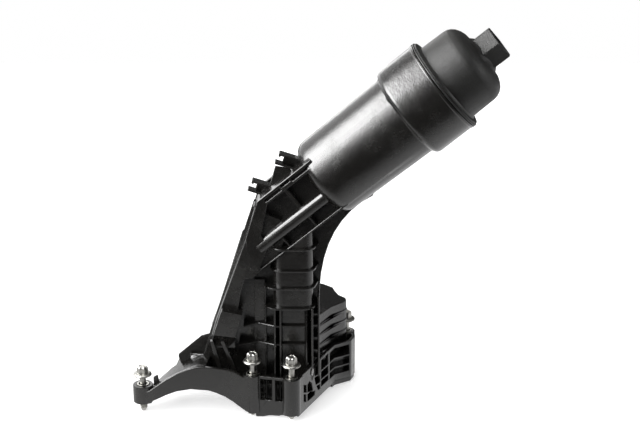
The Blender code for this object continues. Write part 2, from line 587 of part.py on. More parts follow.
def base():
    """The base: deck, surrounding wall, sealing lip and boss for each screw."""
    plate("base_deck", [DECK_OUTLINE], SKIRT_BOTTOM + 0.5 * MM, DECK_TOP)
    wall = plate("base_wall", [BASE_OUTLINE, inset(BASE_OUTLINE, WALL_THICKNESS)], SKIRT_BOTTOM, WALL_TOP)
    arm_clearance = [(-80, -60), (-34, -60), (-34, -38), (-40, -24), (-52, 12), (-58, 60), (-80, 60)]
    cut = plate("wall_over_arm", [in_mm(*arm_clearance)], 0, 24 * MM, Matrix(), CARVERS)
    combine(wall, cut, "DIFFERENCE")
    for i, (left, right, near, far) in enumerate(((-45, 10, -60, -35), (-50, -24.3, 43.4, 65), (36, 60, 38.6, 65))):
        low_corner = (left * MM, near * MM, BOSS_TOP - 0.3 * MM)
        lowered = box(f"wall_lowered_{i}", low_corner, (right * MM, far * MM, WALL_TOP + EMBED), Matrix(), CARVERS)
        combine(wall, lowered, "DIFFERENCE")
    carve_window(wall)
    carve_lattice()
    inner = inset(SEAL_LINE, SEAL_LIP_HALF)
    lip = [inset(SEAL_LINE, -SEAL_LIP_HALF), beside(inner, -3 * MM, -1), beside(inner, 5 * MM, 1)]
    plate("sealing_lip", lip, 0, SKIRT_BOTTOM + EMBED)
    groove_half = GASKET_HALF + SEAT
    groove = [inset(SEAL_LINE, -groove_half), inset(SEAL_LINE, groove_half)]
    plate("gasket_groove", groove, -EMBED, GASKET_HEIGHT + SEAT, Matrix(), CUTS)
    foot = in_mm((34.4, 9.6), (36.8, 14.8), (50.2, 23.2), (53.6, 31.8), (47, 38), (31, 15))
    plate("rear_foot", [foot], SEAT, SKIRT_BOTTOM + EMBED)
    sweep = in_mm((-33, 0.3), (-22, 0.3), (-16, 1.4), (-10, 2.9), (-5, 4.6), (-33, 4.8))
    side_plate("front_foot", sweep, -42.4 * MM, -31.2 * MM)
    for i, middle in enumerate(PORTS):
        rod(f"port_{i}", PORT_RADIUS, -EMBED, PORT_DEPTH, upright(middle), 24, CUTS)


def bosses():
    """The upright bosses and their bores for the compression sleeves."""
    for name, middle in LONG_PLACES.items():
        rod(f"boss_{name}", BOSS_RADIUS, BOSS_BOTTOM, BOSS_TOP, upright(middle), 24)
        rod(f"bore_{name}", SLEEVE_OUTER + SEAT, -EMBED, BOSS_TOP + EMBED, upright(middle), 16, CUTS)
    rod("bore_arm", SLEEVE_OUTER + SEAT, ARM_BOSS_BOTTOM - EMBED, ARM_BOSS_TOP + 9 * MM, upright(ARM_BOSS), 16, CUTS)


LONG_PLACES = {
    "front_left": FRONT_LEFT, "front_right": FRONT_RIGHT, "rear_right": REAR_RIGHT, "rear_left": REAR_LEFT,
}  # fmt: skip


def carve_window(wall):
    """The window between the two front bosses: two pockets, each with a thin rib set back."""
    front = wall_frame(FRONT_LEFT, FRONT_RIGHT)
    low, high = 15.8 * MM, 34.2 * MM
    for i, (near, middle, far) in enumerate(((7.4, 12.4, 17.1), (19.9, 23.6, 25.9))):
        shallow_low = ((middle - 1) * MM, -12 * MM, low + 0.3 * MM)
        shallow_high = ((middle + 1) * MM, -1.7 * MM, high - 0.3 * MM)
        combine(wall, box(f"window_{i}", shallow_low, shallow_high, front, CARVERS), "DIFFERENCE")
        for side, (left, right) in enumerate(((near, middle - 0.7), (middle + 0.7, far))):
            box(f"window_{i}_{side}", (left * MM, -5 * MM, low), (right * MM, 5 * MM, high), front, CUTS)


LATTICE_CELLS = (
    ((9.8, 20.8), (15.1, 18.9), (15.1, 25.3), (9.8, 27.2)),
    ((9.8, 12.4), (14.2, 10.7), (14.2, 17.2), (9.8, 19)),
    ((17, 17.8), (27, 15.4), (25.2, 22.4), (20.8, 26.2), (17, 24.6)),
    ((17, 9.6), (30.4, 9.6), (31.6, 12.6), (21.5, 15.8), (17, 15.8)),
    ((22, 32.3), (27.8, 26.6), (32.4, 35.8), (23, 36)),
    ((31, 26.6), (41.2, 25.4), (41.2, 35.6), (35.2, 35.8)),
    ((33, 17.6), (41.2, 16.6), (41.2, 23.6), (30.6, 24.8)),
    ((37.4, 10.8), (41.2, 10.6), (41.2, 14.6), (34.6, 15.6)),
    ((43.3, 26.2), (57.6, 26), (57.6, 35.4), (43.3, 35)),
    ((43.3, 18), (57.6, 17.6), (57.6, 24.2), (43.3, 24.6)),
    ((43.3, 11.4), (57.6, 11.4), (57.6, 15.8), (43.3, 16.4)),
)
LATTICE_ROWS = ((10.6, 16), (17.7, 24.3), (26, 34.6))


def carve_lattice():
    """The lattice of pockets in the right wall, its cells slanting near the boss, in rows at the back."""
    long_wall = wall_frame(LATTICE_WALLS[0], LATTICE_WALLS[1])
    rear_wall = wall_frame(LATTICE_WALLS[1], LATTICE_WALLS[2])
    for i, cell in enumerate(LATTICE_CELLS):
        side_plate(f"lattice_{i}", in_mm(*cell), -EMBED, 6 * MM, long_wall, CUTS)
    for row, (low, high) in enumerate(LATTICE_ROWS):
        box(f"lattice_side_{row}", (60.4 * MM, -EMBED, low * MM), (71.8 * MM, 5.6 * MM, high * MM), long_wall, CUTS)
        box(f"lattice_rear_{row}", (-1.2 * MM, -EMBED, low * MM), (14.6 * MM, 5 * MM, high * MM), rear_wall, CUTS)


def chamber_solid(name, margin, drop, group):
    """The chamber's outline under its sloping top, moved inwards and down for the space in it."""
    bottom = DECK_TOP + SEAT - (EMBED if margin > 0 else 0)
    solid = plate(name, [inset(CHAMBER_OUTLINE, margin)], bottom, 110 * MM, Matrix(), group)
    corner = Vector((FIN_RIGHT, 0, CHAMBER_LEVEL - drop))
    slope = Vector((CHAMBER_FALL, -CHAMBER_RISE, 1)).normalized()
    return trim_above(solid, corner, slope)


def chamber_cover():
    """The moulded shell over the round chamber, open below, with ribs round it."""
    shell = chamber_solid("chamber_cover", 0, 0, PIECES)
    for i, level in enumerate(GROOVE_LEVELS):
        rib = plate(f"chamber_rib_{i}", [inset(CHAMBER_OUTLINE, -0.6 * MM)], level, level + RIB, Matrix(), CARVERS)
        combine(shell, rib, "UNION")
    space = chamber_solid("chamber_space", CHAMBER_WALL, CHAMBER_WALL, CARVERS)
    return combine(shell, space, "DIFFERENCE")


def duct_cover():
    """The rear half of the duct and frame, welded on along the flange."""
    face = SPLIT + SEAT
    frame_part = [
        (-1 * MM, FRAME_TOP), (-42 * MM, FRAME_TOP), (-70 * MM, 6 * MM), (-88 * MM, FRAME_BOTTOM),
        (-34 * MM, FRAME_BOTTOM), (-1 * MM, FRAME_BOTTOM + 20 * MM),
    ]  # fmt: skip
    cover = side_plate("duct_cover", frame_part, face, COVER_BACK, ALONG_FILTER, PIECES)
    tail = in_mm((-33, 150), (-52, 98.4), (-60, 75.9), (-66, 60), (-50, 60), (-41, 86), (-36, 112), (-24, 120), (-16, 140))
    forms = [side_plate("cover_tail", tail, face, COVER_BACK - 2 * MM, Matrix(), CARVERS)]
    flange = beside(DUCT_FLANGE, 44 * MM, 1)
    forms.append(side_plate("cover_flange", flange, face, face + FLANGE_THICKNESS, Matrix(), CARVERS))
    for i, along in enumerate((-14 * MM, -34 * MM, -54 * MM)):
        low = (along, COVER_BACK - EMBED, FRAME_BOTTOM + 2 * MM + max(0, along + 34 * MM))
        forms.append(box(f"cover_rib_{i}", low, (along + RIB, COVER_BACK + 2 * MM, 10 * MM), ALONG_FILTER, CARVERS))
    for form in forms:
        combine(cover, form, "UNION")
    inner = inset(frame_part[::-1], COVER_WALL)
    space = side_plate("cover_space", inner, face - EMBED, COVER_BACK - COVER_WALL, ALONG_FILTER, CARVERS)
    return combine(cover, space, "DIFFERENCE")


def filter_cap():
    """The screw cap: skirt with ring groove, flange, barrel, dome and hexagon, one moulding."""
    groove_top = CAP_FOOT - CAP_RING_DEPTH + CAP_RING_SECTION + SEAT
    groove_low = CAP_FOOT - CAP_RING_DEPTH - CAP_RING_SECTION - SEAT
    groove_radius = CAP_SKIRT_RADIUS - CAP_RING_SECTION * 2 - SEAT
    skirt_end = CAP_FOOT - CAP_SKIRT_DEPTH
    outer_flange = COLLAR_RADIUS + RIM_LIP
    profile = [(0, HEX_FOOT + EMBED), (HEX_ACROSS_FLATS / 2 - EMBED, HEX_FOOT + EMBED)]
    profile += [(HEX_ACROSS_FLATS / 2 + 0.6 * MM, HEX_FOOT), (CAP_DOME_SHOULDER, HEX_FOOT - CAP_NECK_HEIGHT)]
    dome_width = CAP_BARREL_RADIUS - CAP_DOME_SHOULDER
    profile += arc((CAP_DOME_SHOULDER, BARREL_TOP), dome_width, CAP_DOME_HEIGHT, 72, 0, 5)
    profile += [(CAP_BARREL_RADIUS + 0.5 * MM, FLANGE_TOP + 1.5 * MM), (CAP_BARREL_RADIUS + 2 * MM, FLANGE_TOP)]
    step = CAP_FOOT + CAP_FLANGE_HEIGHT / 2
    profile += [(outer_flange - CAP_FLANGE_STEP, FLANGE_TOP), (outer_flange - CAP_FLANGE_STEP, step)]
    profile += [(outer_flange, step), (outer_flange, CAP_FOOT), (CAP_SKIRT_RADIUS, CAP_FOOT)]
    profile += [(CAP_SKIRT_RADIUS, groove_top), (groove_radius, groove_top), (groove_radius, groove_low)]
    profile += [(CAP_SKIRT_RADIUS, groove_low), (CAP_SKIRT_RADIUS, skirt_end + EMBED)]
    profile += [(CAP_SKIRT_RADIUS - EMBED, skirt_end), (CAP_SKIRT_RADIUS - CAP_SKIRT_WALL, skirt_end)]
    barrel_inside = CAP_BARREL_RADIUS - CAP_WALL
    profile += [(CAP_SKIRT_RADIUS - CAP_SKIRT_WALL, CAP_FOOT), (barrel_inside, FLANGE_TOP + EMBED)]
    inside_width = barrel_inside - CAP_DOME_SHOULDER
    profile += arc((CAP_DOME_SHOULDER, BARREL_TOP), inside_width, CAP_DOME_HEIGHT - CAP_WALL, 0, 75, 3)
    socket_low = CAP_ROOF - CAP_SOCKET_DEPTH
    profile += [(CAP_SOCKET_RADIUS, CAP_ROOF), (CAP_SOCKET_RADIUS, socket_low)]
    profile += [(CAP_SOCKET_RADIUS - CAP_SOCKET_WALL, socket_low), (CAP_SOCKET_RADIUS - CAP_SOCKET_WALL, CAP_ROOF)]
    profile += [(0, CAP_ROOF)]
    cap = turned("filter_cap", profile, FILTER_AXIS, 40, PIECES, CAP_NYLON)
    return combine(cap, hexagon(), "UNION")


def hexagon():
    """The hexagon for the spanner, with chamfered corners."""
    corner = HEX_ACROSS_FLATS / math.sqrt(3)
    frame = FILTER_AXIS @ Matrix.Rotation(HEX_TURN, 4, "Z")
    outline = arc((0, 0), corner, corner, 0, 300, 5)
    block = plate("cap_hexagon", [outline], HEX_FOOT - EMBED, HEX_FOOT + HEX_HEIGHT, frame, CARVERS, CAP_NYLON)
    top = HEX_FOOT + HEX_HEIGHT
    cone = [(0, top + EMBED), (corner - HEX_CHAMFER - EMBED * 1.5, top + EMBED), (corner - HEX_CHAMFER, top)]
    cone += [(corner + EMBED, top - (HEX_CHAMFER + EMBED) * 0.6), (corner + EMBED, HEX_FOOT - 2 * EMBED), (0, HEX_FOOT - 2 * EMBED)]
    chamfer = turned("hexagon_chamfer", cone, frame, 24, CARVERS, CAP_NYLON)
    combine(block, chamfer, "INTERSECT")
    dish = rod("hexagon_dish", HEX_ACROSS_FLATS / 2 - 3.5 * MM, top - 6 * MM, top + EMBED, frame, 24, CARVERS)
    return combine(block, dish, "DIFFERENCE")


def rubber_ring(name, radius, section, height, frame, steps):
    """A round rubber ring, its middle at a height on the frame's axis."""
    circle = arc((radius, height), section, section, 90, -210, 5)
    return turned(name, circle, frame, steps, PIECES, RUBBER)


def pleats(outer, inner):
    """A zigzag line round the axis, one tooth for each pleat of the paper."""
    points = []
    for i in range(PLEAT_COUNT * 2):
        turn = math.pi * i / PLEAT_COUNT
        radius = outer if i % 2 == 0 else inner
        points.append((radius * math.cos(turn), radius * math.sin(turn)))
    return points


def filter_element():
    """Pleated paper between two end discs, and the seal under the lower disc."""
    bore = STEM_RADIUS + SEAT
    disc = ELEMENT_RADIUS + DISC_OVERHANG
    low, high = ELEMENT_FOOT, ELEMENT_TOP
    for name, foot in (("element_bottom_disc", low), ("element_top_disc", high - DISC_THICKNESS)):
        top = foot + DISC_THICKNESS
        profile = [(bore, top), (disc, top), (disc, foot), (bore, foot)]
        turned(name, profile, FILTER_AXIS, 32, PIECES, PAPER)
    tips, roots = ELEMENT_RADIUS, ELEMENT_RADIUS - PLEAT_DEPTH
    outlines = [pleats(tips, roots), pleats(tips - PAPER_THICKNESS * 2, roots - PAPER_THICKNESS)]
    foot = low + DISC_THICKNESS + SEAT
    plate("element_paper", outlines, foot, high - DISC_THICKNESS - SEAT, FILTER_AXIS, PIECES, PAPER)
    seal_top = low - SEAT
    seal_low = seal_top - SEAL_THICKNESS
    seal = [(bore, seal_top), (bore + 4 * MM, seal_top), (bore + 3 * MM, seal_low), (bore, seal_low)]
    turned("element_seal", seal, FILTER_AXIS, 24, PIECES, RUBBER)


def stem():
    """The support tube clipped in the cap, with windows, a valve shelf and a tip for the drain."""
    inside = STEM_RADIUS - STEM_WALL
    tip = DRAIN_RADIUS - 0.5 * MM
    ring_height = STEM_TIP + 2.2 * MM
    ring_radius = DRAIN_RADIUS - STEM_RING_SECTION - SEAT / 2
    groove = ring_radius - STEM_RING_SECTION - SEAT / 2
    half = STEM_RING_SECTION + 0.2 * MM
    roof = STEM_TOP - STEM_ROOF
    clip_radius = CAP_SOCKET_RADIUS - CAP_SOCKET_WALL - SEAT
    profile = [(3 * MM, STEM_TOP), (clip_radius, STEM_TOP), (clip_radius, STEM_TOP - 3 * MM)]
    profile += [(STEM_RADIUS, STEM_TOP - 5 * MM), (STEM_RADIUS, BOWL_FLOOR + 2 * MM), (tip, BOWL_FLOOR + SEAT)]
    profile += [(tip, ring_height + half), (groove, ring_height + half), (groove, ring_height - half)]
    profile += [(tip, ring_height - half), (tip - 0.6 * MM, STEM_TIP), (2 * MM, STEM_TIP)]
    profile += [(2 * MM, BOWL_FLOOR + 3 * MM), (inside, BOWL_FLOOR + 4 * MM)]
    profile += [(inside, VALVE_SEAT - VALVE_SHELF), (VALVE_HOLE, VALVE_SEAT - VALVE_SHELF)]
    profile += [(VALVE_HOLE, VALVE_SEAT), (inside, VALVE_SEAT), (inside, roof), (3 * MM, roof)]
    tube = turned("stem", profile, FILTER_AXIS, 24, PIECES)
    for i in range(STEM_WINDOWS):
        turn = FILTER_AXIS @ Matrix.Rotation(math.pi * (2 * i + 1) / STEM_WINDOWS, 4, "Z")
        for tier, (low, high) in enumerate(((20, 50), (56, 86))):
            cut = box(
                f"stem_window_{i}_{tier}", (4 * MM, -4 * MM, low * MM), (16 * MM, 4 * MM, high * MM), turn, CARVERS
            )
            combine(tube, cut, "DIFFERENCE")
    rubber_ring("stem_o_ring", ring_radius, STEM_RING_SECTION, ring_height, FILTER_AXIS, 20)
    return tube


def bypass_valve():
    """The relief valve in the stem: a disc that the spring holds on its shelf."""
    foot = VALVE_SEAT + SEAT
    top = foot + VALVE_THICKNESS
    spigot = SPRING_RADIUS - SPRING_WIRE - SEAT
    profile = [(0, top + EMBED), (spigot, top + EMBED), (spigot, top), (VALVE_RADIUS, top), (VALVE_RADIUS, foot), (0, foot)]
    turned("bypass_valve", profile, FILTER_AXIS, 28, PIECES)
    curve = bpy.data.curves.new("bypass_spring", "CURVE")
    curve.dimensions = "3D"
    curve.bevel_depth = SPRING_WIRE
    curve.bevel_resolution = 1
    curve.use_fill_caps = True
    count = SPRING_TURNS * 12
    line = curve.splines.new("POLY")
    line.points.add(count)
    start = top + SEAT + SPRING_WIRE
    for i, point in enumerate(line.points):
        turn = 2 * math.pi * SPRING_TURNS * i / count
        rise = start + (SPRING_HEIGHT - 2 * SPRING_WIRE) * i / count
        point.co = (SPRING_RADIUS * math.cos(turn), SPRING_RADIUS * math.sin(turn), rise, 1)
    place("bypass_spring", mesh_of(curve), PIECES, SPRING_STEEL, FILTER_AXIS)


def star_outline():
    """The outer star drive of a screw head, six rounded lobes."""
    points = []
    for i in range(12):
        turn = math.tau * i / 12
        radius = SCREW_HEAD if i % 2 == 0 else SCREW_HEAD * 0.84
        points.append((radius * math.cos(turn), radius * math.sin(turn)))
    return points


def captive_screw(name, middle, seat):
    """A flange screw with a star head, standing on its tip. The seat is under its flange."""
    stand = upright(middle)
    flange_top = seat + SCREW_FLANGE_THICKNESS
    head_top = seat + SCREW_FLANGE_THICKNESS + SCREW_HEAD_HEIGHT
    profile = [(0, flange_top + 1.6 * MM), (SCREW_HEAD * 0.86, flange_top + 1.6 * MM)]
    profile += [(SCREW_HEAD + 0.6 * MM, flange_top + 0.5 * MM), (SCREW_FLANGE, flange_top - 0.6 * MM)]
    profile += [(SCREW_FLANGE, seat), (SCREW_SHANK, seat), (SCREW_SHANK, SCREW_THREAD_LENGTH)]
    profile += [(SCREW_THREAD, SCREW_THREAD_LENGTH - 0.5 * MM), (SCREW_THREAD, 3 * MM), (1.6 * MM, 1.2 * MM)]
    profile += [(0.8 * MM, 0), (0, 0)]
    screw = turned(name, profile, stand, 14, PIECES, ZINC)
    head = plate(f"{name}_head", [star_outline()], flange_top, head_top, stand, CARVERS, ZINC)
    return combine(screw, head, "UNION")


def sleeve(name, middle, low, high):
    """A steel sleeve that takes the screw's load through a boss."""
    profile = [(SLEEVE_INNER, high), (SLEEVE_OUTER, high), (SLEEVE_OUTER, low), (SLEEVE_INNER, low)]
    return turned(name, profile, upright(middle), 16, PIECES, ZINC)


def fasteners():
    """Each boss has its sleeve and its captive screw."""
    for name, middle in LONG_PLACES.items():
        captive_screw(f"screw_{name}", middle, LONG_SCREW)
        sleeve(f"sleeve_{name}", middle, BOSS_BOTTOM, BOSS_TOP + SLEEVE_STAND)
    captive_screw("screw_arm", ARM_BOSS, SHORT_SCREW)
    sleeve("sleeve_arm", ARM_BOSS, ARM_BOSS_BOTTOM, ARM_BOSS_TOP + SLEEVE_STAND)


def base_gasket():
    """The rubber gasket in the groove of the sealing lip, flush with the face."""
    outlines = [inset(SEAL_LINE, -GASKET_HALF), inset(SEAL_LINE, GASKET_HALF)]
    return plate("base_gasket", outlines, 0, GASKET_HEIGHT, Matrix(), PIECES, RUBBER)


def housing():
    """The one-piece moulding: all its forms joined, then its spaces cut."""
    body = bowl()
    diagonal_frame()
    slanted_duct()
    column()
    gusset()
    cable_clips()
    arm()
    base()
    bosses()
    bowl_space()
    combine(body, FORMS, "UNION")
    combine(body, CUTS, "DIFFERENCE")
    joined = body.modifiers.new("close_seams", "WELD")
    joined.merge_threshold = 0.00002
    return body


duct_cover()
chamber_cover()
filter_cap()
rubber_ring(
    "cap_o_ring", CAP_SKIRT_RADIUS - CAP_RING_SECTION + 0.1 * MM, CAP_RING_SECTION,
    CAP_FOOT - CAP_RING_DEPTH, FILTER_AXIS, 36,
)  # fmt: skip
filter_element()
stem()
bypass_valve()
fasteners()
base_gasket()
housing()
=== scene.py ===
import json
import math

import bmesh
import bpy
from mathutils import Matrix, Vector


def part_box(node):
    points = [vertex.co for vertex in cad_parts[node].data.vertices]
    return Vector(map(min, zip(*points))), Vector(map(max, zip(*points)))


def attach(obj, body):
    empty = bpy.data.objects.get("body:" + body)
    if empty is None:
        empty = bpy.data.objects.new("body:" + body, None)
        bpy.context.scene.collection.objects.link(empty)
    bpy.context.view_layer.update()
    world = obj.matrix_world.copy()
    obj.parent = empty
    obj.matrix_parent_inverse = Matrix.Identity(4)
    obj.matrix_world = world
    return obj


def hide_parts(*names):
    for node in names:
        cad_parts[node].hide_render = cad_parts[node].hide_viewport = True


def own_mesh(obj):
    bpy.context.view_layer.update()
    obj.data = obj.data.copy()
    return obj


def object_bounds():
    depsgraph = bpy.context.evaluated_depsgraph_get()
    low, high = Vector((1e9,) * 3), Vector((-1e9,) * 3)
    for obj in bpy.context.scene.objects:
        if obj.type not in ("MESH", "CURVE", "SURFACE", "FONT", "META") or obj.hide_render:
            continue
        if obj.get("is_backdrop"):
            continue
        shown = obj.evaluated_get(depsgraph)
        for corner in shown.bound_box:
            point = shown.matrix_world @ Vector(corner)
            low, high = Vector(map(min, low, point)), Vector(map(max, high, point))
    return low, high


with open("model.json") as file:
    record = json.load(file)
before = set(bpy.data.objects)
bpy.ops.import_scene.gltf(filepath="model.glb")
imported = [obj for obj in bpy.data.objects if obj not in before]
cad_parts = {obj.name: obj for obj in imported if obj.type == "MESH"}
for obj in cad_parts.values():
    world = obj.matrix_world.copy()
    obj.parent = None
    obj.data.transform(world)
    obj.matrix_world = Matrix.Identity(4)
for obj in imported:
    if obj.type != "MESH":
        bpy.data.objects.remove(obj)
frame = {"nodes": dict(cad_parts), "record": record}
low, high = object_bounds()
cad_box = [list(low), list(high)]


# Photo studio
# A white floor in front of a white wall, with a lamp on the left and one above. The glossy
# nylon also mirrors a curved lit sheet on the left and two flat ones, above and on the right.
# The camera looks down by 20 degrees.
class Value:
    """The output of a node, for use in expressions with other outputs and with numbers."""

    def __init__(self, tree, socket):
        self.tree = tree
        self.socket = socket

    def maths(self, operation, first, second):
        node = self.tree.nodes.new("ShaderNodeMath")
        node.operation = operation
        for slot, part in zip(node.inputs, (first, second)):
            connect(self.tree, slot, part)
        return Value(self.tree, node.outputs[0])

    def __add__(self, other):
        return self.maths("ADD", self, other)

    def __radd__(self, other):
        return self.maths("ADD", other, self)

    def __sub__(self, other):
        return self.maths("SUBTRACT", self, other)

    def __rsub__(self, other):
        return self.maths("SUBTRACT", other, self)

    def __mul__(self, other):
        return self.maths("MULTIPLY", self, other)

    def __rmul__(self, other):
        return self.maths("MULTIPLY", other, self)


def connect(tree, slot, part):
    """A link to the slot from a node's output, or else a fixed value in the slot."""
    if isinstance(part, Value):
        tree.links.new(part.socket, slot)
    else:
        slot.default_value = part


class Nodes:
    """The nodes of a material or of the world, put together one by one."""

    def __init__(self, tree, end):
        self.tree = tree
        self.tree.nodes.clear()
        self.end = self.tree.nodes.new(end)

    def add(self, kind, settings=None, output=0, **sockets):
        """A node with its settings and its sockets' values or links. A socket goes by name or by _number."""
        node = self.tree.nodes.new(kind)
        for name, setting in (settings or {}).items():
            setattr(node, name, setting)
        for name, part in sockets.items():
            place = int(name[1:]) if name[1:].isdigit() else name.replace("_", " ")
            connect(self.tree, node.inputs[place], part)
        return Value(self.tree, node.outputs[output])

    def ramp(self, part, start, stop):
        """Nought below start and one above stop, with a smooth step between them."""
        settings = {"interpolation_type": "SMOOTHSTEP"}
        return self.add("ShaderNodeMapRange", settings, Value=part, From_Min=start, From_Max=stop)

    def noise(self, place, scale, detail, roughness):
        return self.add("ShaderNodeTexNoise", Vector=place, Scale=scale, Detail=detail, Roughness=roughness)

    def mix(self, share, first, second):
        """A colour between two colours, whose sockets in the node have numbers only."""
        return self.add("ShaderNodeMix", {"data_type": "RGBA"}, 2, _0=share, _6=first, _7=second)

    def close(self, surface):
        self.tree.links.new(surface.socket, self.end.inputs["Surface"])


class Finish(Nodes):
    """A material that is put together node by node."""

    def __init__(self, name):
        self.material = bpy.data.materials.new(name)
        self.material.use_nodes = True
        super().__init__(self.material.node_tree, "ShaderNodeOutputMaterial")

    def close(self, surface):
        super().close(surface)
        return self.material


def finished_mesh(shape, name):
    """The shape as an object of its own in the scene."""
    mesh = bpy.data.meshes.new(name)
    shape.to_mesh(mesh)
    shape.free()
    thing = bpy.data.objects.new(name, mesh)
    bpy.context.scene.collection.objects.link(thing)
    return thing


def flat_sheet(name, corners, finish):
    shape = bmesh.new()
    shape.faces.new([shape.verts.new(corner) for corner in corners])
    sheet = finished_mesh(shape, name)
    sheet.data.materials.append(finish)
    sheet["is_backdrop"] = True
    return sheet


def only_mirrored(sheet):
    """The sheet shows as a reflection, but lights nothing and isn't seen itself."""
    for ray in ("camera", "diffuse", "transmission", "volume_scatter", "shadow"):
        setattr(sheet, "visible_" + ray, False)


white = (1, 1, 1, 1)
matt_white = (0.85, 0.85, 0.85, 1)
object_reach, clean_reach = 0.3, 0.8


def backdrop_white(name, camera_glow, way, glows, fade, rise=None):
    """Matt white paint that the camera sees as clean white, and glossy surfaces as a lit sheet.

    The mirrored glow fades from the first to the second along the way, and may rise from nought with height.
    """
    paint = Finish(name)
    place = paint.add("ShaderNodeTexCoord", output="Object")
    along = paint.add("ShaderNodeSeparateXYZ", output=way, Vector=place)
    glow = paint.ramp(along, *fade) * (glows[1] - glows[0]) + glows[0]
    if rise:
        height = paint.add("ShaderNodeSeparateXYZ", output="Z", Vector=place)
        glow = glow * paint.ramp(height, *rise)
    away = paint.add("ShaderNodeVectorMath", {"operation": "LENGTH"}, "Value", _0=place)
    share = paint.ramp(away, object_reach, clean_reach) * (1 - camera_glow) + camera_glow
    seen = paint.add("ShaderNodeLightPath", output="Is Camera Ray")
    mirrored = paint.add("ShaderNodeLightPath", output="Is Glossy Ray")
    matt = paint.add("ShaderNodeBsdfDiffuse", Color=matt_white)
    clean = paint.add("ShaderNodeEmission", Color=white, Strength=seen * share)
    lit = paint.add("ShaderNodeEmission", Color=white, Strength=glow)
    both = paint.add("ShaderNodeAddShader", _0=matt, _1=clean)
    return paint.close(paint.add("ShaderNodeMixShader", _0=mirrored, _1=both, _2=lit))


floor_z = cad_box[0][2] - 0.0005
side_x, front_y, wall_y, wall_top = 2, -1.6, 1.1, 1.1
floor_white = backdrop_white("floor white", 0.6, "Y", (0.08, 1.15), (-0.37, -0.04))
floor_ends = ((-side_x, front_y), (side_x, front_y), (side_x, wall_y), (-side_x, wall_y))
flat_sheet("floor", [(x, y, floor_z) for x, y in floor_ends], floor_white)
wall_white = backdrop_white("wall white", 1.0, "X", (3.2, 0.15), (-0.15, 0.1), (0.04, 0.26))
wall_ends = ((-side_x, floor_z), (side_x, floor_z), (side_x, wall_top), (-side_x, wall_top))
wall = flat_sheet("wall", [(x, wall_y, z) for x, z in wall_ends], wall_white)
wall.visible_camera = False

bowl_axis = Vector((0.773398, 0, 0.633921))
bowl_frame = Matrix((bowl_axis, (0, 1, 0), (-bowl_axis.z, 0, bowl_axis.x)))
sheet_middle = Vector((0.06, 0, 0.21))
sheet_radius = 0.9
first_turn, last_turn = 24, 171
first_tilt, last_tilt = -42, 0
grid_step = 3
full_glow, least_share = 22, 0.08
rise_start, rise_stop, fall_start, fall_length = 62, 95, 122, 10.5
soft_edge = 6


def sheet_glow(turn, tilt):
    """The curved sheet's glow at an angle round the bowl and an angle along it, both in degrees."""
    share = min(1, max(0, (turn - rise_start) / (rise_stop - rise_start)))
    share = share * share * (3 - 2 * share) * (1 - least_share) + least_share
    edge = min(1, max(0, (last_tilt - tilt) / soft_edge))
    return full_glow * share * edge * math.exp(-max(0, turn - fall_start) / fall_length)


def curved_sheet(name):
    """A part of a globe round the middle of the bowl, spun about the bowl's axis from one arc."""
    shape = bmesh.new()
    arc = []
    start = math.radians(first_turn)
    for tilt in range(first_tilt, last_tilt + 1, grid_step):
        along, out = math.sin(math.radians(tilt)), math.cos(math.radians(tilt))
        way = Vector((along, out * math.cos(start), out * math.sin(start)))
        arc.append(shape.verts.new(sheet_middle + bowl_frame.transposed() @ way * sheet_radius))
    edges = [shape.edges.new(pair) for pair in zip(arc, arc[1:])]
    turned = last_turn - first_turn
    bmesh.ops.spin(
        shape, geom=arc + edges, cent=sheet_middle, axis=bowl_axis, angle=math.radians(turned),
        steps=turned // grid_step, use_merge=False,
    )
    glow = shape.verts.layers.float.new("glow")
    for point in shape.verts:
        along, out, up = bowl_frame @ (point.co - sheet_middle) / sheet_radius
        turn, tilt = math.degrees(math.atan2(up, out)), math.degrees(math.asin(along))
        point[glow] = sheet_glow(turn, tilt)
    paint = Finish(name)
    strength = paint.add("ShaderNodeAttribute", {"attribute_name": "glow"}, "Fac")
    sheet = finished_mesh(shape, name)
    sheet.data.materials.append(paint.close(paint.add("ShaderNodeEmission", Color=white, Strength=strength)))
    sheet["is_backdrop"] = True
    return sheet


def lit_panel(name, corners, strength):
    """A flat lit sheet."""
    paint = Finish(name)
    lit = paint.add("ShaderNodeEmission", Color=white, Strength=strength)
    return flat_sheet(name, corners, paint.close(lit))


above_z = 1.15
above_ends = ((-0.45, -0.7), (0.35, -0.7), (0.35, 0.3), (-0.45, 0.3))
right_corners = ((1.1, -0.45, 0.3), (1.1, 0.1, 0.3), (1.0, 0.1, 0.85), (1.0, -0.45, 0.85))
only_mirrored(curved_sheet("lit sheet"))
only_mirrored(lit_panel("sheet above", [(x, y, above_z) for x, y in above_ends], 2.0))
only_mirrored(lit_panel("sheet on the right", right_corners, 3.0))

room = bpy.data.worlds.new("dim room")
bpy.context.scene.world = room
room.use_nodes = True
room_nodes = Nodes(room.node_tree, "ShaderNodeOutputWorld")
room_seen = room_nodes.add("ShaderNodeLightPath", output="Is Camera Ray")
room_dim = room_nodes.add("ShaderNodeBackground", Color=white, Strength=0.12)
room_white = room_nodes.add("ShaderNodeBackground", Color=white, Strength=1)
room_nodes.close(room_nodes.add("ShaderNodeMixShader", _0=room_seen, _1=room_dim, _2=room_white))


def softbox(name, place, target, along, width, height, power):
    """A rectangular lamp that faces its target and doesn't show as a reflection."""
    lamp = bpy.data.lights.new(name, "AREA")
    lamp.shape = "RECTANGLE"
    lamp.size = width
    lamp.size_y = height
    lamp.energy = power
    back = (Vector(place) - Vector(target)).normalized()
    up = back.cross(Vector(along)).normalized()
    side = up.cross(back)
    thing = bpy.data.objects.new(name, lamp)
    thing.matrix_world = Matrix.Translation(place) @ Matrix((side, up, back)).transposed().to_4x4()
    thing.visible_glossy = False
    bpy.context.scene.collection.objects.link(thing)


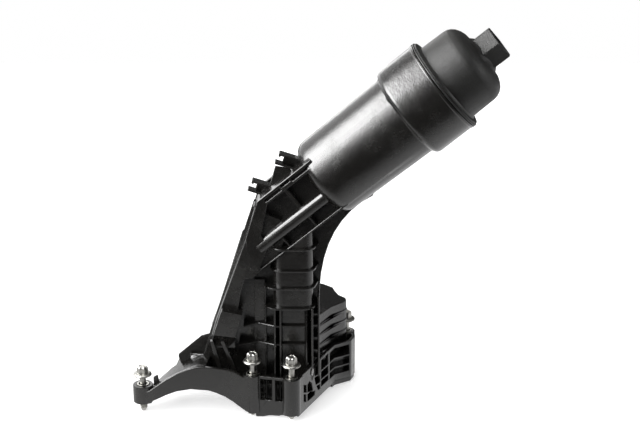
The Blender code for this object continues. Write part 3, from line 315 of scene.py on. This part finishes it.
left_place, left_along = (-0.47, -0.51, 0.54), (-0.41, 0.76, 0.506)
softbox("left light", left_place, sheet_middle, left_along, 0.74, 0.66, 8)
softbox("light above", (0.1, 0.3, 1.3), (0.02, 0, 0.15), (1, 0, 0), 0.8, 0.8, 8)

camera_data = bpy.data.cameras.new("camera")
camera_data.sensor_width = 36
camera_data.lens = 87.35
camera = bpy.data.objects.new("camera", camera_data)
camera.location = (0.0242, -1.1746, 0.5889)
camera.rotation_euler = (math.radians(90 - 20), 0, 0)
bpy.context.scene.collection.objects.link(camera)
bpy.context.scene.camera = camera
bpy.context.scene.view_settings.view_transform = "Standard"


# Housing and its two covers
# Mouldings in black glass-filled nylon: the bowl with frame, column, base and arm in one, and
# the shells behind the duct and the column, which are welded on. Their edges are slightly
# round, and the bowl is smudged from handling.
split_gap = 0.000002
flat_turn = 0.6


def width_of(face):
    """The mean width of a face across its longest side."""
    return face.calc_area() / max(side.calc_length() for side in face.edges)


def moulded(node, radius, sharp_turn=30):
    """A copy of a solid with its sharp outer edges rounded and its round faces smooth."""
    shape = bmesh.new()
    shape.from_mesh(frame["nodes"][node].data)
    bmesh.ops.remove_doubles(shape, verts=shape.verts, dist=split_gap)
    flat = math.radians(flat_turn)
    bmesh.ops.dissolve_limit(shape, angle_limit=flat, verts=shape.verts, edges=shape.edges)
    sharp = []
    for edge in shape.edges:
        if edge.is_convex and edge.calc_face_angle() > math.radians(sharp_turn):
            width = min(width_of(face) for face in edge.link_faces)
            if width > radius * 1.2 and edge.calc_length() > radius * 0.8:
                sharp.append(edge)
    if sharp:
        bmesh.ops.bevel(
            shape, geom=sharp, offset=radius, offset_type="OFFSET", segments=2, profile=0.5,
            affect="EDGES", clamp_overlap=False, material=-1,
        )
    piece = smooth_piece(shape, node, sharp_turn)
    even = piece.modifiers.new("even flats", "WEIGHTED_NORMAL")
    even.keep_sharp = True
    return piece


def smooth_piece(shape, node, sharp_turn):
    """The shape as the look of a node, smooth but for edges that turn more than sharp_turn."""
    for face in shape.faces:
        face.smooth = True
    piece = finished_mesh(shape, node + "_look")
    piece.data.set_sharp_from_angle(angle=math.radians(sharp_turn))
    return piece


body_of_node = {}
for body, nodes in frame["record"]["behaviour"]["bodies"].items():
    for node in nodes:
        body_of_node[node] = body


def dressed(node, piece, finish):
    """The piece stands for the node, moves with the node's body and gets its finish."""
    piece.data.materials.clear()
    piece.data.materials.append(finish)
    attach(piece, body_of_node[node])
    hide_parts(node)


def nylon(name, colour, dust_colour, gloss, dust_share, grain):
    """Black nylon with faint flow marks, fine grain and a film of dust."""
    plastic = Finish(name)
    place = plastic.add("ShaderNodeTexCoord", output="Object")
    patch = plastic.ramp(plastic.noise(place, 34.0, 6.0, 0.62), 0.46, 0.68)
    speck = plastic.ramp(plastic.noise(place, 420.0, 3.0, 0.6), 0.52, 0.72)
    dust = patch * 0.65 + patch * speck * 0.35
    fine = plastic.noise(place, 800.0, 2.0, 0.5)
    wave = plastic.noise(place, 190.0, 3.0, 0.55)
    relief = fine * grain + wave * 1.2
    bump = plastic.add("ShaderNodeBump", Strength=0.4, Distance=0.0003, Height=relief)
    shade = plastic.mix(dust * dust_share, colour, dust_colour)
    rough = dust * 0.16 + wave * 0.1 + gloss
    surface = plastic.add(
        "ShaderNodeBsdfPrincipled", Base_Color=shade, Roughness=rough, Normal=bump, IOR=1.53,
    )
    return plastic.close(surface)


nylon_edge = 0.0006
nylon_black, nylon_dust = (0.008, 0.0075, 0.0068, 1), (0.06, 0.058, 0.054, 1)
housing_nylon = nylon("black nylon", nylon_black, nylon_dust, gloss=0.15, dust_share=0.16, grain=0.6)
for node in ("housing", "duct_cover", "chamber_cover"):
    dressed(node, moulded(node, nylon_edge), housing_nylon)


# Screw cap
# A moulding in satin black nylon that screws in the collar of the bowl. Its hexagon is made
# for a 27 mm spanner.
cap_black, cap_dust = (0.007, 0.0068, 0.0062, 1), (0.05, 0.049, 0.046, 1)
cap_nylon = nylon("satin nylon", cap_black, cap_dust, gloss=0.46, dust_share=0.2, grain=1.0)
dressed("filter_cap", moulded("filter_cap", nylon_edge, sharp_turn=17), cap_nylon)


# Rubber rings and gasket
# Seals of moulded black rubber with a dull surface: round the cap, at the foot of the support
# tube, in the element's end disc, and in the groove of the base.
def rubber(name, colour, pale_colour):
    """Dull rubber with a fine grain."""
    soft = Finish(name)
    place = soft.add("ShaderNodeTexCoord", output="Object")
    grain = soft.noise(place, 800.0, 3.0, 0.6)
    bump = soft.add("ShaderNodeBump", Strength=0.2, Distance=0.0002, Height=grain)
    shade = soft.mix(grain * 0.4, colour, pale_colour)
    rough = grain * 0.15 + 0.5
    return soft.close(soft.add("ShaderNodeBsdfPrincipled", Base_Color=shade, Roughness=rough, Normal=bump))


rubber_edge = 0.0002
black_rubber = rubber("black rubber", (0.014, 0.014, 0.014, 1), (0.03, 0.03, 0.029, 1))
for node in ("cap_o_ring", "stem_o_ring", "element_seal", "base_gasket"):
    dressed(node, moulded(node, rubber_edge), black_rubber)


# Support tube and bypass valve
# The tube holds the filter element and is clipped in the cap. The small valve in its head is
# of the same black nylon.
tube_edge = 0.0003
for node in ("stem", "bypass_valve"):
    dressed(node, moulded(node, tube_edge), housing_nylon)


# Captive screws and their sleeves
# Zinc plated steel. The sleeves are moulded in the bosses, and the flange screws with star
# heads stand in them, ready to be screwed in the engine.
def plated(name, colour, tarnish, gloss):
    """Bare or plated metal with faint stains and fine scratches."""
    metal = Finish(name)
    place = metal.add("ShaderNodeTexCoord", output="Object")
    stain = metal.ramp(metal.noise(place, 180.0, 5.0, 0.6), 0.42, 0.7)
    scratch = metal.noise(place, 1500.0, 2.0, 0.5)
    shade = metal.mix(stain * 0.6, colour, tarnish)
    bump = metal.add("ShaderNodeBump", Strength=0.15, Distance=0.0001, Height=scratch)
    rough = stain * 0.15 + scratch * 0.1 + gloss
    surface = metal.add(
        "ShaderNodeBsdfPrincipled", Base_Color=shade, Roughness=rough, Normal=bump, Metallic=1.0,
    )
    return metal.close(surface)


seat_below_top = 0.0086
tip_radius, shank_radius, tip_height, shank_fillet = 0.0016, 0.0026, 0.002, 0.0006
flange_radius, crown_radius, flange_height = 0.0075, 0.0056, 0.0022
thread_start, thread_root, thread_radius, thread_pitch = 0.0021, 0.0024, 0.003, 0.001
thread_turns, steps_a_turn = 14, 18
head_radius, lobe_height, lobes = 0.0043, 0.00055, 6
head_levels = ((0.0016, 0.96), (0.0026, 0.99), (0.0008, 0.95), (0.0006, 0.88), (0.0003, 0.84))
recess_rim, recess_depth = 0.0007, 0.0006


def profile_line(shape, points):
    """Points at radii and heights, joined by edges, as geometry for a spin."""
    line = [shape.verts.new((radius, 0, height)) for radius, height in points]
    return line + [shape.edges.new(pair) for pair in zip(line, line[1:])]


def add_shank(shape, seat):
    """The shank with its tip and flange, turned about the upright axis."""
    profile = [(0, 0), (tip_radius, 0), (shank_radius, tip_height)]
    profile += [(shank_radius, seat - shank_fillet), (shank_radius + shank_fillet, seat)]
    profile += [(flange_radius - 0.0004, seat), (flange_radius, seat + 0.0003)]
    profile += [(flange_radius, seat + 0.0009), (flange_radius - 0.0003, seat + 0.0014)]
    profile += [(crown_radius, seat + flange_height), (0, seat + flange_height)]
    bmesh.ops.spin(
        shape, geom=profile_line(shape, profile), cent=(0, 0, 0), axis=(0, 0, 1), angle=math.tau, steps=32,
        use_merge=True,
    )
    bmesh.ops.remove_doubles(shape, verts=shape.verts, dist=0.000001)


def add_thread(shape):
    """A ridge that winds up the shank, with its feet inside it."""
    ridge = [(thread_root, thread_start), (thread_radius, thread_start + thread_pitch * 0.4)]
    ridge += [(thread_radius, thread_start + thread_pitch * 0.6), (thread_root, thread_start + thread_pitch)]
    bmesh.ops.spin(
        shape, geom=profile_line(shape, ridge), cent=(0, 0, 0), axis=(0, 0, 1),
        dvec=(0, 0, thread_pitch / steps_a_turn), angle=math.tau * thread_turns,
        steps=steps_a_turn * thread_turns, use_merge=False,
    )


def add_star_head(shape, foot):
    """A head with lobes, extruded level by level from its foot, with a recess in its top."""
    ring = bmesh.ops.create_circle(shape, cap_ends=True, segments=72, radius=head_radius)["verts"]
    for point in ring:
        lobe = math.cos(lobes * math.atan2(point.co.y, point.co.x))
        reach = 1 + lobe * lobe_height / head_radius
        point.co = (point.co.x * reach, point.co.y * reach, foot)
    ring = set(ring)
    top = [face for face in shape.faces if ring.issuperset(face.verts)]
    for rise, narrower in head_levels:
        made = bmesh.ops.extrude_face_region(shape, geom=top)["geom"]
        top = [part for part in made if isinstance(part, bmesh.types.BMFace)]
        for point in made:
            if isinstance(point, bmesh.types.BMVert):
                point.co = (point.co.x * narrower, point.co.y * narrower, point.co.z + rise)
    bmesh.ops.inset_region(shape, faces=top, thickness=recess_rim, depth=-recess_depth)


def star_screw(node):
    """A flange screw with a star head, as tall as the node and in its place."""
    low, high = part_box(node)
    seat = high[2] - low[2] - seat_below_top
    shape = bmesh.new()
    add_shank(shape, seat)
    add_thread(shape)
    add_star_head(shape, seat + flange_height - 0.0001)
    bmesh.ops.recalc_face_normals(shape, faces=shape.faces)
    middle = Vector(((low[0] + high[0]) / 2, (low[1] + high[1]) / 2, low[2]))
    bmesh.ops.translate(shape, verts=shape.verts, vec=middle)
    return smooth_piece(shape, node, sharp_turn=35)


sleeve_edge = 0.0002
zinc = plated("zinc plating", (0.36, 0.355, 0.335, 1), (0.17, 0.165, 0.15, 1), gloss=0.24)
for place in ("arm", "front_left", "front_right", "rear_right", "rear_left"):
    dressed("screw_" + place, star_screw("screw_" + place), zinc)
    dressed("sleeve_" + place, moulded("sleeve_" + place, sleeve_edge), zinc)


# Bypass spring
# A coil of bare spring wire between the bypass valve and the head of the support tube. It is
# pressed together, by 4 mm of its 18 mm, as the valve lifts.
wire_edge = 0.0001
spring_steel = plated("spring wire", (0.5, 0.5, 0.5, 1), (0.36, 0.35, 0.34, 1), gloss=0.25)
spring = moulded("bypass_spring", wire_edge)
dressed("bypass_spring", spring, spring_steel)
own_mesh(spring)


# Filter element
# Pleated filter paper between two end discs of the same fleece, which are glued on.
def paper(name, colour, dark_colour):
    """Matt paper with a fine felt of fibres."""
    fleece = Finish(name)
    place = fleece.add("ShaderNodeTexCoord", output="Object")
    fibre = fleece.noise(place, 900.0, 4.0, 0.7)
    shade = fleece.mix(fibre, colour, dark_colour)
    bump = fleece.add("ShaderNodeBump", Strength=0.4, Distance=0.0003, Height=fibre)
    return fleece.close(fleece.add("ShaderNodeBsdfPrincipled", Base_Color=shade, Roughness=0.85, Normal=bump))


paper_edge = 0.0002
filter_paper = paper("filter paper", (0.8, 0.66, 0.4, 1), (0.6, 0.46, 0.24, 1))
for node in ("element_top_disc", "element_paper", "element_bottom_disc"):
    dressed(node, moulded(node, paper_edge), filter_paper)


low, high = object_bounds()
